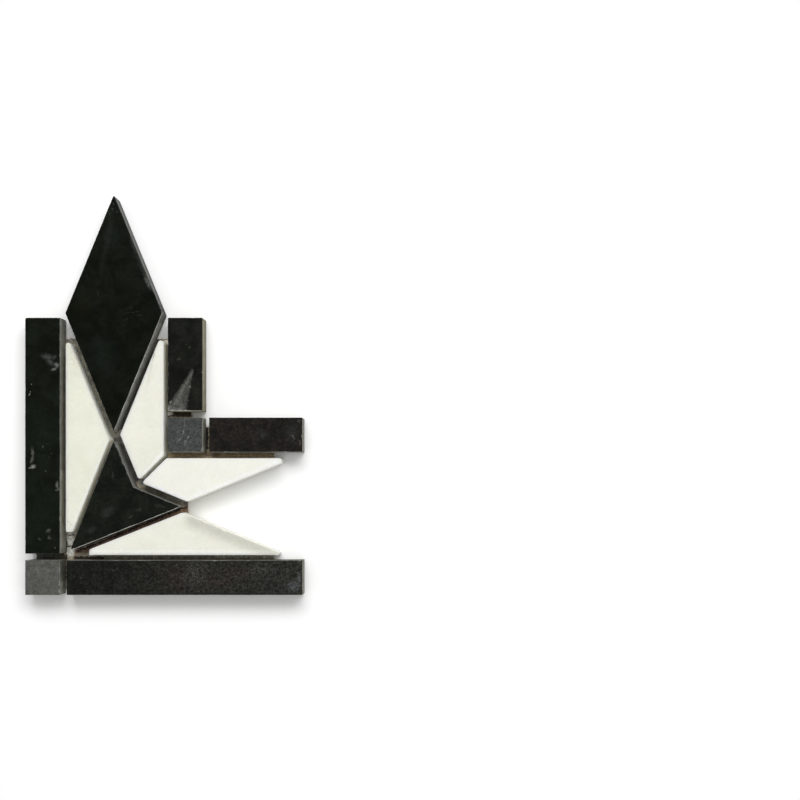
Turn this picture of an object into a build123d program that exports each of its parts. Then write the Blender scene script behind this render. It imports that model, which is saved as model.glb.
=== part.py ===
"""Corner unit of a black and white marble mosaic border, laid face up on its mesh backing.

Twelve sawn stones lie on one trimmed sheet of mesh. Black bars run along both arms of the L, and a
field of black rhombi and white triangles fills the band between them. One black dart turns the
field round the corner, and the two white stones inside it meet in a mitre. At the end of the first
arm the rhombus stands out past the bars, and at the end of the second arm an open notch waits for
the rhombus of the next tile.

Lengths are in millimetres. Sketches measure along and up from the tile's outer corner; the model's
origin is at the middle of the footprint, on the ground, with +Z up through the polished face.
"""

import os
from math import atan, cos, sin, sqrt

from build123d import *

# Stones
stone_thickness = 10.0
bar_width = 14.8
bar_length = 100.4
field_width = 41.4  # between the joints of the outer and the inner bars
outer_blunt_width = 1.4  # of the white triangles' cut ends by the rhombus
corner_blunt_width = 2.5  # of their cut ends by the corner
inner_blunt_width = 1.9  # of the cut ends of the white stones inside the corner

# Joints and gaps
joint = 2.8  # between the ends of the bars and the squares
bar_joint = 2.25  # between the bars and the field
mitre_joint = 1.9
tip_gap = 1.1  # from the sharp tip of a rhombus to the crossing of the pattern
dart_tip_gap = 1.9
dart_corner_gap = 2.15  # from the corner of the field to the dart's outer point
outer_rhombus_joint = 3.4  # from the white triangles to the rhombus
outer_dart_joint = 2.5
inner_rhombus_joint = 2.6  # from the white stones inside the corner to the rhombus
inner_dart_joint = 3.3

# The pieces were laid by hand, a little off the even pattern
rhombus_shift = 0.6  # outwards, along its arm
white_shift = 0.35  # of all four white stones, away from the first arm and towards the outside of the second

# Edges
black_arris = 0.3
black_tip_radius = 0.4
white_arris = 0.4
white_corner_radius = 0.8

# Mesh backing: a skin of set adhesive, with the strands of the mesh standing out below it
skin_thickness = 0.4
strand_thickness = 0.4
strand_width = 1.2
strand_pitch = 6.0
mesh_outer_inset = 1.8  # from the outside of the corner to the trimmed edge
mesh_first_inset = 6.2  # from the inside of the first arm to the trimmed edge
mesh_second_inset = 3.5  # from the inside of the second arm to the trimmed edge
mesh_past_end = 2.6  # from the ends of the white stones to the mesh's end, on the first arm
mesh_short_of_end = 2.8  # the same on the second arm, where the mesh ends under the stones
mesh_notch_inset = 0.8  # from the white stones' edges in the notch to the trimmed edge

# Places along an arm, from the outer corner of the tile
bar_start = bar_width + joint
field_start = bar_width + bar_joint
field_end = field_start + field_width
inner_bar_start = field_end + bar_joint
border_width = inner_bar_start + bar_width
arm_length = bar_start + bar_length
short_bar_start = border_width + joint
short_bar_length = arm_length - short_bar_start
centreline = field_start + field_width / 2

# The pattern repeats once a bar, with its crossings beside the middle of the long bars
repeat = bar_length + joint
crossing = arm_length + joint / 2 - repeat / 2

# A rhombus reaches from one crossing to the next, and its short diagonal is the field's width
rhombus_centre = arm_length + joint / 2 + rhombus_shift
rhombus_length = repeat - 2 * tip_gap
slant = field_width / rhombus_length
half_angle = atan(slant)

# Dart that turns the field round the corner, hollow on its inner side
dart_tip = crossing - dart_tip_gap
dart_outer = field_start + dart_corner_gap
dart_slant = (centreline - dart_outer) / (dart_tip - dart_outer)
dart_half_angle = atan(dart_slant)
dart_hollow = centreline + slant * (dart_tip - centreline) / (1 + slant)

# A white stone's width falls along one edge beside the rhombus and rises along one beside the dart.
# Each edge is kept as the width that it would have at the tile's corner, and the apex is where both
# widths are the same.
outer_far_edge = slant * rhombus_centre - outer_rhombus_joint / cos(half_angle)
outer_near_edge = (
    dart_corner_gap - dart_slant * dart_outer - outer_dart_joint / cos(dart_half_angle)
)
outer_apex = (outer_far_edge - outer_near_edge) / (slant + dart_slant)
outer_apex_width = outer_far_edge - slant * outer_apex
outer_far_end = (outer_far_edge - outer_blunt_width) / slant
outer_near_end = (corner_blunt_width - outer_near_edge) / dart_slant

inner_far_edge = slant * rhombus_centre - inner_rhombus_joint / cos(half_angle)
inner_near_edge = field_width / 2 - slant * dart_tip - inner_dart_joint / cos(half_angle)
inner_apex = (inner_far_edge - inner_near_edge) / (2 * slant)
inner_apex_width = inner_far_edge - slant * inner_apex
inner_far_end = (inner_far_edge - inner_blunt_width) / slant

# The white stones inside the corner are cut off along the mitre between the two arms
mitre_offset = mitre_joint / sqrt(2)
mitre_foot = (field_end - inner_near_edge + mitre_offset) / (1 + slant)

# The rounded tip of the rhombus stands back from its sharp corner
tip_setback = black_tip_radius * (1 / sin(half_angle) - 1)
overall_length = rhombus_centre + rhombus_length / 2 - tip_setback
mesh_thickness = skin_thickness + strand_thickness

# Planes through the outer corner of the tile
tile_corner = Vector(-arm_length / 2, -overall_length / 2, 0)
ground = Plane(tile_corner)
stone_bed = ground.offset(mesh_thickness)
mitre = Plane(tile_corner, z_dir=(1, -1, 0))
white_corner = tile_corner + Vector(white_shift, -white_shift, 0)
white_bed = Plane(white_corner).offset(mesh_thickness)
white_mitre = Plane(white_corner, z_dir=(1, -1, 0))

from_corner = (Align.MIN, Align.MIN)


# Bars of the border, each with a fine arris round its face
with BuildPart() as outer_bar_vertical:
    with BuildSketch(stone_bed):
        with Locations((0, bar_start)):
            Rectangle(bar_width, bar_length, align=from_corner)
    extrude(amount=stone_thickness)
    chamfer(faces().sort_by(Axis.Z)[-1].edges(), black_arris)

with BuildPart() as outer_bar_horizontal:
    mirror(outer_bar_vertical.part, about=mitre)

with BuildPart() as inner_bar_vertical:
    with BuildSketch(stone_bed):
        with Locations((inner_bar_start, short_bar_start)):
            Rectangle(bar_width, short_bar_length, align=from_corner)
    extrude(amount=stone_thickness)
    chamfer(faces().sort_by(Axis.Z)[-1].edges(), black_arris)

with BuildPart() as inner_bar_horizontal:
    mirror(inner_bar_vertical.part, about=mitre)

# Squares where the bars of the two arms meet
with BuildPart() as outer_corner_square:
    with BuildSketch(stone_bed):
        Rectangle(bar_width, bar_width, align=from_corner)
    extrude(amount=stone_thickness)
    chamfer(faces().sort_by(Axis.Z)[-1].edges(), black_arris)

with BuildPart() as inner_corner_square:
    with BuildSketch(stone_bed):
        with Locations((inner_bar_start, inner_bar_start)):
            Rectangle(bar_width, bar_width, align=from_corner)
    extrude(amount=stone_thickness)
    chamfer(faces().sort_by(Axis.Z)[-1].edges(), black_arris)

# Rhombus that stands out at the end of the first arm, with its two thin tips eased
with BuildPart() as rhombus:
    with BuildSketch(stone_bed):
        with BuildLine():
            Polyline(
                (centreline, rhombus_centre - rhombus_length / 2),
                (field_end, rhombus_centre),
                (centreline, rhombus_centre + rhombus_length / 2),
                (field_start, rhombus_centre),
                close=True,
            )
        make_face()
        fillet(vertices(), black_tip_radius)
    extrude(amount=stone_thickness)
    chamfer(faces().sort_by(Axis.Z)[-1].edges(), black_arris)

# Dart, with its two long tips beside the crossings
with BuildPart() as corner_dart:
    with BuildSketch(stone_bed):
        with BuildLine():
            Polyline(
                (dart_outer, dart_outer),
                (dart_tip, centreline),
                (dart_hollow, dart_hollow),
                (centreline, dart_tip),
                close=True,
            )
        make_face()
        fillet(vertices(), black_tip_radius)
    extrude(amount=stone_thickness)
    chamfer(faces().sort_by(Axis.Z)[-1].edges(), black_arris)

# White triangles on the outer side of the field, with their thin ends cut blunt
with BuildPart() as white_outer_vertical:
    with BuildSketch(white_bed):
        with BuildLine():
            Polyline(
                (field_start, outer_far_end),
                (field_start, outer_near_end),
                (field_start + corner_blunt_width, outer_near_end),
                (field_start + outer_apex_width, outer_apex),
                (field_start + outer_blunt_width, outer_far_end),
                close=True,
            )
        make_face()
        fillet(vertices(), white_corner_radius)
    extrude(amount=stone_thickness)
    chamfer(faces().sort_by(Axis.Z)[-1].edges(), white_arris)

with BuildPart() as white_outer_horizontal:
    mirror(white_outer_vertical.part, about=white_mitre)

# White stones inside the corner
with BuildPart() as white_inner_vertical:
    with BuildSketch(white_bed):
        with BuildLine():
            Polyline(
                (field_end, inner_far_end),
                (field_end - inner_blunt_width, inner_far_end),
                (field_end - inner_apex_width, inner_apex),
                (mitre_foot - mitre_offset, mitre_foot),
                (field_end, field_end + mitre_offset),
                close=True,
            )
        make_face()
        fillet(vertices(), white_corner_radius)
    extrude(amount=stone_thickness)
    chamfer(faces().sort_by(Axis.Z)[-1].edges(), white_arris)

with BuildPart() as white_inner_horizontal:
    mirror(white_inner_vertical.part, about=white_mitre)

# Outline of the mesh backing: an L trimmed inside the stones, cut out under the open notch
mesh_first_width = border_width - mesh_outer_inset - mesh_first_inset
mesh_first_end = outer_far_end + mesh_past_end
mesh_second_width = border_width - mesh_outer_inset - mesh_second_inset
mesh_second_end = outer_far_end - mesh_short_of_end
notch_inset = mesh_notch_inset / cos(half_angle)
notch_lower_edge = field_start + outer_far_edge - notch_inset
notch_upper_edge = field_end - inner_far_edge + notch_inset

with BuildSketch(ground) as mesh_outline:
    with Locations((mesh_outer_inset, mesh_outer_inset)):
        Rectangle(mesh_first_width, mesh_first_end - mesh_outer_inset, align=from_corner)
        Rectangle(mesh_second_end - mesh_outer_inset, mesh_second_width, align=from_corner)
    with BuildLine():
        Polyline(
            (crossing, notch_lower_edge - slant * crossing),
            (mesh_second_end, notch_lower_edge - slant * mesh_second_end),
            (mesh_second_end, notch_upper_edge + slant * mesh_second_end),
            (crossing, notch_upper_edge + slant * crossing),
            close=True,
        )
    make_face(mode=Mode.SUBTRACT)

# Strands cross both ways under the whole outline, and the cells between them are hollow
strand_length = mesh_first_end - mesh_outer_inset
strand_middle = mesh_outer_inset + strand_length / 2
strand_count = int(strand_length / strand_pitch)
strand_places = [mesh_outer_inset + (number + 0.5) * strand_pitch for number in range(strand_count)]

with BuildSketch(ground) as mesh_cells:
    add(mesh_outline.sketch_local)
    with Locations([(place, strand_middle) for place in strand_places]):
        Rectangle(strand_width, strand_length, mode=Mode.SUBTRACT)
    with Locations([(strand_middle, place) for place in strand_places]):
        Rectangle(strand_length, strand_width, mode=Mode.SUBTRACT)

with BuildPart() as mesh_backing:
    add(mesh_outline.sketch)
    extrude(amount=mesh_thickness)
    add(mesh_cells.sketch)
    extrude(amount=strand_thickness, mode=Mode.SUBTRACT)


pieces = {
    "outer_bar_vertical": outer_bar_vertical,
    "outer_bar_horizontal": outer_bar_horizontal,
    "inner_bar_vertical": inner_bar_vertical,
    "inner_bar_horizontal": inner_bar_horizontal,
    "outer_corner_square": outer_corner_square,
    "inner_corner_square": inner_corner_square,
    "rhombus": rhombus,
    "corner_dart": corner_dart,
    "white_outer_vertical": white_outer_vertical,
    "white_outer_horizontal": white_outer_horizontal,
    "white_inner_vertical": white_inner_vertical,
    "white_inner_horizontal": white_inner_horizontal,
    "mesh_backing": mesh_backing,
}

os.makedirs("parts", exist_ok=True)
for name, piece in pieces.items():
    piece.part.label = name
    export_step(piece.part, f"parts/{name}.step")
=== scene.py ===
"""Looks of a black and white marble mosaic corner: its stones, its mesh and the light on them.

Everything is in metres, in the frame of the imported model: +Z up through the polished face, +Y along
the arm that ends in the rhombus, +X along the arm that ends in the open notch.
"""

import bpy
import numpy as np
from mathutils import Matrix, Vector
from mathutils.geometry import delaunay_2d_cdt


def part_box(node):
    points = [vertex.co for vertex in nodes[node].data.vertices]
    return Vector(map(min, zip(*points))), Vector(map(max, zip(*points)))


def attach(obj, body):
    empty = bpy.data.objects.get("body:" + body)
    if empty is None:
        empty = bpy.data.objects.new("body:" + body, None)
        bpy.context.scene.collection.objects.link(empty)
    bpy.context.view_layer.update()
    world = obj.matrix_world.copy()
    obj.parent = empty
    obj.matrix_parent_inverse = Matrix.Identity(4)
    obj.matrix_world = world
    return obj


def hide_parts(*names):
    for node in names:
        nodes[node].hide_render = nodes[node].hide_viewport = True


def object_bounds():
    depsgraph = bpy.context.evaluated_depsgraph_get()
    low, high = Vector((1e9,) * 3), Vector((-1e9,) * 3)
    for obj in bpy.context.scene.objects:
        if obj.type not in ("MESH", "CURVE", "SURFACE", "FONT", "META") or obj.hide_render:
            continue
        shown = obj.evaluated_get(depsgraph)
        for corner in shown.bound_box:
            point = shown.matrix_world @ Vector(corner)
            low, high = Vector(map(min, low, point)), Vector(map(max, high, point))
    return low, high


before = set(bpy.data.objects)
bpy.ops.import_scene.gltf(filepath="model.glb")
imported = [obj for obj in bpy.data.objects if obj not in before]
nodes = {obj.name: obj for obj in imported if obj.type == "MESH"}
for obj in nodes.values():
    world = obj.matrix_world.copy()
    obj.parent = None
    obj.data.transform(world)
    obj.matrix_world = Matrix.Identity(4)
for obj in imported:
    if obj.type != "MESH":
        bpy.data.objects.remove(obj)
cad_low, cad_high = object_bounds()

MM = 0.001  # a millimetre, in metres

# The photograph: the tile's outer corner and the point under the camera, in its pixels
PHOTO_SIZE = 800
PIXELS_PER_METRE = 2350
CORNER_PIXEL = (25.1, 595.0)
NADIR_PIXEL = (441.0, 490.0)
CAMERA_HEIGHT = 606 * MM  # above the polished faces
SENSOR_WIDTH = 36.0  # in millimetres, like the lens


def photo_point(x_pixel, y_pixel, below=0.0):
    """A pixel of the photograph as a place in metres: on the polished faces, or that far below them,
    where things lie further from the point under the camera than they seem to."""
    spread = 1 + below / CAMERA_HEIGHT
    x_pixel = NADIR_PIXEL[0] + (x_pixel - NADIR_PIXEL[0]) * spread
    y_pixel = NADIR_PIXEL[1] + (y_pixel - NADIR_PIXEL[1]) * spread
    x = cad_low.x + (x_pixel - CORNER_PIXEL[0]) / PIXELS_PER_METRE
    y = cad_low.y + (CORNER_PIXEL[1] - y_pixel) / PIXELS_PER_METRE
    return x, y


def new_object(name, data):
    """Puts data into the scene as an object."""
    made = bpy.data.objects.new(name, data)
    bpy.context.scene.collection.objects.link(made)
    return made


def new_piece(name, points, faces, shares=None, sharp=None):
    """Puts a smooth mesh into the scene as an object. The shares are numbers that its points carry for
    the material, and edges are sharp from an angle in degrees on."""
    data = bpy.data.meshes.new(name)
    data.from_pydata(points.tolist(), [], faces)
    for title, values in (shares or {}).items():
        layer = data.attributes.new(title, "FLOAT", "POINT")
        layer.data.foreach_set("value", values)
    data.shade_smooth()
    if sharp is not None:
        data.set_sharp_from_angle(angle=np.radians(sharp))
    return new_object(name, data)


# Camera


def make_camera():
    """A camera that looks straight down, shifted so that the photograph's frame is the render's."""
    camera = new_object("camera", bpy.data.cameras.new("camera"))
    x, y = photo_point(*NADIR_PIXEL)
    camera.location = (x, y, cad_high.z + CAMERA_HEIGHT)
    camera.data.sensor_width = SENSOR_WIDTH
    camera.data.lens = SENSOR_WIDTH * PIXELS_PER_METRE * CAMERA_HEIGHT / PHOTO_SIZE
    camera.data.shift_x = (PHOTO_SIZE / 2 - NADIR_PIXEL[0]) / PHOTO_SIZE
    camera.data.shift_y = (NADIR_PIXEL[1] - PHOTO_SIZE / 2) / PHOTO_SIZE
    bpy.context.scene.camera = camera


make_camera()


# Node trees

# A Mix node has the same sockets for every kind of value, and these are the ones for colours
MIX_FACTOR = 0
MIX_FIRST = 6
MIX_SECOND = 7
MIX_RESULT = 2

WANDER_SCALE = 900  # of the noise, in lumps to a metre
WANDER_REACH = 1.6 * MM  # per unit of the noise, which seldom goes further than 0.2 from its middle
BUMP_STRENGTH = 0.6


class Tree:
    """A node tree that is written from top to bottom: each call adds nodes and feeds their sockets."""

    def __init__(self, tree):
        self.tree = tree
        self.wandered = None
        tree.nodes.clear()

    def add(self, kind, sockets=None, output=0, **properties):
        """Adds a node, sets its properties and sockets, and returns one of its outputs. A socket goes
        by its name, or by its number where the node has several of that name."""
        made = self.tree.nodes.new(kind)
        for name, value in properties.items():
            setattr(made, name, value)
        for name, value in (sockets or {}).items():
            if isinstance(value, bpy.types.NodeSocket):
                self.tree.links.new(value, made.inputs[name])
            else:
                made.inputs[name].default_value = value
        return made.outputs[output] if made.outputs else made

    def maths(self, operation, first, second=0.0):
        """One sum on two numbers."""
        return self.add("ShaderNodeMath", {0: first, 1: second}, operation=operation)

    def times(self, *factors):
        """The product of numbers."""
        product, *others = factors
        for factor in others:
            product = self.maths("MULTIPLY", product, factor)
        return product

    def highest(self, values):
        """The highest of numbers, or 0 where all are below it."""
        result = 0.0
        for value in values:
            result = self.maths("MAXIMUM", value, result)
        return result

    def ramp(self, value, low, high, low_result=0.0, high_result=1.0):
        """Carries a value smoothly from one result to the other as it goes from low to high."""
        sockets = {
            "Value": value,
            "From Min": low,
            "From Max": high,
            "To Min": low_result,
            "To Max": high_result,
        }
        return self.add("ShaderNodeMapRange", sockets, interpolation_type="SMOOTHSTEP")

    def mix(self, factor, first, second, blend_type="MIX"):
        """Mixes two colours."""
        sockets = {MIX_FACTOR: factor, MIX_FIRST: first, MIX_SECOND: second}
        return self.add("ShaderNodeMix", sockets, MIX_RESULT, data_type="RGBA", blend_type=blend_type)

    def tint(self, colour, tone):
        """A colour times a number."""
        return self.mix(1.0, colour, tone, "MULTIPLY")

    def own(self):
        """The object's own coordinates, in metres."""
        return self.add("ShaderNodeTexCoord", output="Object")

    def place(self, centre=(0, 0, 0), turn=0.0, size=(1, 1, 1), vector=None):
        """Coordinates from a centre, turned about Z, in units of the given size: of the given vector,
        or else of the object's own coordinates."""
        sockets = {
            "Vector": self.own() if vector is None else vector,
            "Location": centre,
            "Rotation": (0, 0, turn),
            "Scale": size,
        }
        return self.add("ShaderNodeMapping", sockets, vector_type="TEXTURE")

    def coordinate(self, vector, axis):
        """A vector's X, Y or Z."""
        return self.add("ShaderNodeSeparateXYZ", {"Vector": vector}, output=axis)

    def length(self, vector):
        """A vector's length."""
        return self.add("ShaderNodeVectorMath", {0: vector}, output="Value", operation="LENGTH")

    def noise(self, vector, scale, detail=3.0, roughness=0.5, distortion=0.0, output="Fac"):
        """Cloudy noise from 0 to 1, with features about one over scale across."""
        sockets = {
            "Vector": vector,
            "Scale": scale,
            "Detail": detail,
            "Roughness": roughness,
            "Distortion": distortion,
        }
        return self.add("ShaderNodeTexNoise", sockets, output)

    def pattern(self, vector, kind, low_result=0.0, high_result=1.0, distortion=0.0):
        """Noise of a kind, carried from one result to the other. A kind is the noise's scale, detail
        and roughness, and the two of its values that get those results."""
        scale, detail, roughness, low, high = kind
        noise = self.noise(vector, scale, detail, roughness, distortion)
        return self.ramp(noise, low, high, low_result, high_result)

    def attribute(self, name):
        """A number that the mesh carries at its points."""
        return self.add("ShaderNodeAttribute", output="Fac", attribute_name=name)

    def ray(self, kind):
        """1 for rays of a kind, such as Camera or Glossy, and 0 for all others."""
        return self.add("ShaderNodeLightPath", output=f"Is {kind} Ray")

    def bump(self, height, distance):
        """A normal that leans with a height from 0 to 1, which stands for the given distance."""
        sockets = {"Height": height, "Distance": distance, "Strength": BUMP_STRENGTH}
        return self.add("ShaderNodeBump", sockets)

    def principled(self, sockets):
        """The surface of a material."""
        surface = self.add("ShaderNodeBsdfPrincipled", sockets)
        self.add("ShaderNodeOutputMaterial", {"Surface": surface})

    def wandering(self):
        """The object's own coordinates, shifted by noise by up to some 0.3 mm."""
        if self.wandered is None:
            shift = self.noise(self.own(), WANDER_SCALE, output="Color")
            sockets = {0: shift, 1: (0.5, 0.5, 0.5)}
            centred = self.add("ShaderNodeVectorMath", sockets, operation="SUBTRACT")
            sockets = {0: centred, "Scale": WANDER_REACH}
            scaled = self.add("ShaderNodeVectorMath", sockets, operation="SCALE")
            sockets = {0: self.own(), 1: scaled}
            self.wandered = self.add("ShaderNodeVectorMath", sockets, operation="ADD")
        return self.wandered

    def blot(self, x_pixel, y_pixel, long_mm, wide_mm, turn=0.0):
        """A soft ragged oval on the face, 1 in its middle and 0 outside; its place is a pixel of the
        photograph."""
        centre = (*photo_point(x_pixel, y_pixel), cad_high.z)
        size = (long_mm * MM, wide_mm * MM, 1.0)
        inside = self.place(centre, np.radians(turn), size, self.wandering())
        return self.ramp(self.length(inside), 1.0, 0.0)

    def band(self, start, end, half_mm, last_mm=None, soft=0.5, below=0.0, fade_mm=0.4):
        """A soft straight band, 1 along its middle and 0 outside, between two pixels of the photograph.
        Its half width goes evenly from the first number to the last, and its ends fade."""
        last_mm = half_mm if last_mm is None else last_mm
        first, last = (np.array(photo_point(*pixel, below)) for pixel in (start, end))
        along = last - first
        half_long = np.hypot(*along) / 2
        centre = (*(first + last) / 2, 0)
        inside = self.place(centre, np.arctan2(along[1], along[0]), vector=self.wandering())
        lengthways = self.coordinate(inside, "X")
        across = self.coordinate(inside, "Y")
        half = self.ramp(lengthways, -half_long, half_long, half_mm * MM, last_mm * MM)
        share = self.maths("DIVIDE", self.maths("ABSOLUTE", across), half)
        fade = fade_mm * MM
        ends = self.ramp(self.maths("ABSOLUTE", lengthways), half_long + fade, half_long - fade)
        return self.times(ends, self.ramp(share, 1.0, 1.0 - soft))


def new_material(name):
    """A new material and the empty tree of its nodes."""
    material = bpy.data.materials.new(name)
    material.use_nodes = True
    return material, Tree(material.node_tree)


def srgb(red, green, blue):
    """A colour as a screen shows it, from 0 to 255, as linear light with an alpha of 1."""
    shown = np.array([red, green, blue]) / 255
    linear = np.where(shown <= 0.04045, shown / 12.92, ((shown + 0.055) / 1.055) ** 2.4)
    return (*linear, 1.0)


# Shapes of the stones

SAME_LEVEL = 0.01 * MM  # points of the CAD model as near in height as this lie on one level
ROUNDING = 6  # decimals of a metre, so that equal points of the CAD model are equal numbers
OUTLINE_STEP = 0.35 * MM
CORNER_EASE = 0.4  # in steps of the outline
NORMAL_EASE = 4  # in steps of the outline
LEAST_SHARE = 0.3  # keeps the steps inwards short at sharp corners
CUT_EASE = 2  # in steps of the outline

# A point comes to belong to a side as the cosine between the directions of both goes over this span
FACING_FROM = 0.8
FACING_SPAN = 0.15

WALL_RINGS = 12
LOWEST_RING = 0.02  # as a share of the wall's height
UNDERSIDE_EASE = 0.2 * MM
SAW_RELIEF = 0.06 * MM
RIM = 0.12 * MM  # of worn stone, with painted highlight, on each side of the arris
ARRIS_RINGS = (0.25, 0.5, 0.75, 1.0)
FACE_RINGS = (0.93, 0.8, 0.6, 0.3)
FACE_LEAN = 0.0006  # metres to a metre
STONE_SHARP = 28  # degrees

# Lowest and highest shares of a width, a drop, a depth or a paleness along the arris
WHOLE_WIDTH = (0.45, 1.0)
WHOLE_DROP = (0.8, 1.4)
CHIP_DROP = (0.5, 1.5)
CHIP_FLOOR = (0.6, 1.4)
CHIP_FACE = (0.85, 1.15)
RUBBED = (0.65, 1.35)
BROKEN = 0.2 * MM  # how deep a chip is whose arris is wholly gone

# Half a chip's length in millimetres and its share of the depth, before they are raised to a power,
# which makes most chips small
CHIP_HALF = (0.25, 1.1)
CHIP_DEPTH = (0.1, 1.0)

# Widths of the noise along the outline, in its steps
SAW_NOISE = 40
ARRIS_NOISE = 3
CHIP_NOISE = 4
CHIP_FLOOR_NOISE = 1.2
CHIP_FACE_NOISE = 1.5
RUB_NOISE = 5


def bell_mean(values, width):
    """Closed rows of values, each the mean of its neighbours under a bell curve, width in steps."""
    reach = int(3 * width) + 1
    bell = np.exp(-0.5 * (np.arange(-reach, reach + 1) / width) ** 2)
    bell /= bell.sum()
    padded = np.concatenate([values[-reach:], values, values[:reach]])
    if values.ndim == 1:
        return np.convolve(padded, bell, mode="valid")
    return np.column_stack([np.convolve(column, bell, mode="valid") for column in padded.T])


def wander(rng, count, width, low=0.0, high=1.0):
    """Smooth noise along a closed row: random values under a bell, spread to fill low to high."""
    row = bell_mean(rng.standard_normal(count), width)
    return low + (high - low) * np.clip(0.5 + 0.25 * row / row.std(), 0, 1)


def node_points(node):
    """The corner points of one of the CAD model's nodes."""
    data = nodes[node].data
    points = np.empty(len(data.vertices) * 3)
    data.vertices.foreach_get("co", points)
    return points.reshape(-1, 3)


def underside_outline(node, middle):
    """The points of a stone's underside, in order round a middle that sees all of them."""
    points = node_points(node)
    low = points[points[:, 2] < points[:, 2].min() + SAME_LEVEL, :2]
    low = np.unique(low.round(ROUNDING), axis=0)
    turn = np.arctan2(low[:, 1] - middle[1], low[:, 0] - middle[0])
    return low[np.argsort(turn)]


def even_outline(corners):
    """Points at even steps along a closed outline, with its corners barely eased."""
    closed = np.vstack([corners, corners[:1]])
    along = np.concatenate([[0], np.cumsum(np.hypot(*np.diff(closed, axis=0).T))])
    count = int(along[-1] / OUTLINE_STEP)
    places = np.arange(count) * along[-1] / count
    path = np.column_stack([np.interp(places, along, closed[:, axis]) for axis in (0, 1)])
    return bell_mean(path, CORNER_EASE)


def inward(path):
    """For each point the step inwards that moves every edge in by one: the normals, evened out near
    the corners so that neighbouring steps don't cross, over their share along the true normal."""
    along = np.roll(path, -1, axis=0) - np.roll(path, 1, axis=0)
    along /= np.hypot(*along.T)[:, None]
    normal = np.column_stack([-along[:, 1], along[:, 0]])
    even = bell_mean(normal, NORMAL_EASE)
    even /= np.hypot(*even.T)[:, None]
    share = np.clip((even * normal).sum(axis=1), LEAST_SHARE, 1)
    return even / share[:, None]


def chips(rng, path, gap, depth, placed):
    """How deep the arris is chipped along the path: the deepest of half ovals, at random places about
    a gap apart and at the placed ones, with a rough floor. Most of the random ones are small."""
    count = len(path)
    length = count * OUTLINE_STEP
    number = max(int(length / gap), 1)
    middles = list(rng.uniform(0, length, number))
    halves = list(rng.uniform(*CHIP_HALF, number) ** 1.5 * MM)
    depths = list(depth * rng.uniform(*CHIP_DEPTH, number) ** 2)
    for x_pixel, y_pixel, half, deep in placed:
        nearest = np.argmin(np.hypot(*(path - np.array(photo_point(x_pixel, y_pixel))).T))
        middles.append(nearest * OUTLINE_STEP)
        halves.append(half * MM)
        depths.append(deep * MM)
    places = np.arange(count) * OUTLINE_STEP
    away = (places - np.array(middles)[:, None] + length / 2) % length - length / 2
    oval = np.sqrt(np.clip(1 - (away / np.array(halves)[:, None]) ** 2, 0, 1))
    rough = wander(rng, count, CHIP_FLOOR_NOISE, *CHIP_FLOOR)
    return (oval * np.array(depths)[:, None]).max(axis=0) * rough


def facing(outward, sides, usual):
    """For each point three numbers, how pale its arris is, with painted highlight, the factor of painted
    light and shade on its wall, and how far its wall is cut back: those of the side that its outward
    normal is nearest to, and elsewhere the usual."""
    result = np.tile(np.array(usual), (len(outward), 1))
    for x, y, pale, light, *cut in sides:
        nearness = outward @ (np.array([x, y]) / np.hypot(x, y))
        share = np.clip((nearness - FACING_FROM) / FACING_SPAN, 0, 1)
        result += share[:, None] * (np.array([pale, light, *(cut or usual[2:])]) - result)
    return result.T


def closed_rings(rings, around):
    """Faces of a shape whose points come ring by ring, followed by a pole for its first ring and one
    for its last: four-sided faces between the rings and three-sided ones round the poles."""
    turn = np.arange(around)
    after = (turn + 1) % around
    starts = np.arange(rings - 1)[:, None] * around
    corners = [starts + turn, starts + after, starts + around + after, starts + around + turn]
    quads = np.stack(corners, axis=-1).reshape(-1, 4)
    pole = np.full(around, rings * around)
    last = (rings - 1) * around
    first_cap = np.column_stack([pole, after, turn])
    last_cap = np.column_stack([pole + 1, last + turn, last + after])
    return quads.tolist() + first_cap.tolist() + last_cap.tolist()


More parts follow.
